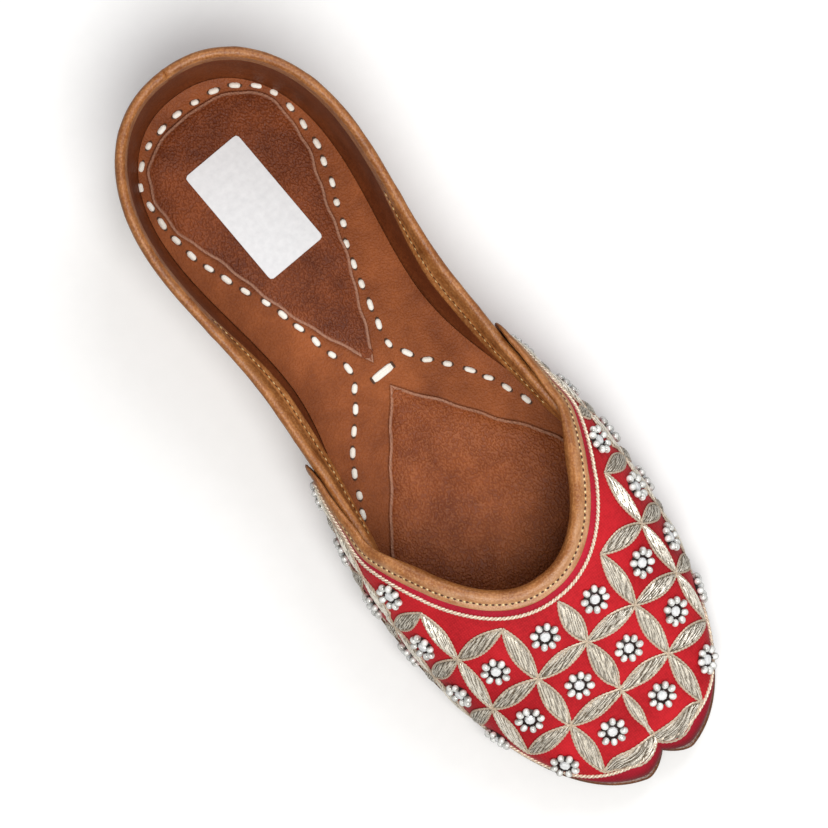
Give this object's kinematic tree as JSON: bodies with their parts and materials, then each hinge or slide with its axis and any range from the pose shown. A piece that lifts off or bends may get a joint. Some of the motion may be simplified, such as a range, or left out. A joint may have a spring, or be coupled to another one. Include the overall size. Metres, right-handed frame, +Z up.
{
  "type": "mojari shoe",
  "caption": "Flat slip-on mojari with a leather sole, a hollow leather upper open at the top, a lapped cloth vamp with a nicked toe, bound edges and a padded insole.",
  "frame": {"origin": "on the ground plane under the middle of the shoe's bounding box", "axes": "+Z up from the sole, -Y towards the toe, +X across the shoe; the shoe is mirrored about x = 0"},
  "size_m": [0.0876, 0.2528, 0.0488],
  "materials": {
    "sole_leather": "burnished vegetable-tanned sole leather with a polished brown edge",
    "lining_leather": "brown lining leather with a fine pebbled grain",
    "vamp_cloth": "red cloth over leather, embroidered with pale gold thread and glass beads",
    "binding_leather": "smooth tan piping leather, rolled and stitched",
    "insole_leather": "smooth brown insole leather with cream running stitches",
    "pad_leather": "brown pad leather with a pebbled grain"
  },
  "bodies": {
    "root": {"outsole": "sole_leather", "upper": "lining_leather", "vamp": "vamp_cloth", "collar_binding": "binding_leather", "throat_binding": "binding_leather", "insole": "insole_leather", "heel_pad": "pad_leather", "forefoot_pad": "pad_leather"}
  },
  "joints": []
}
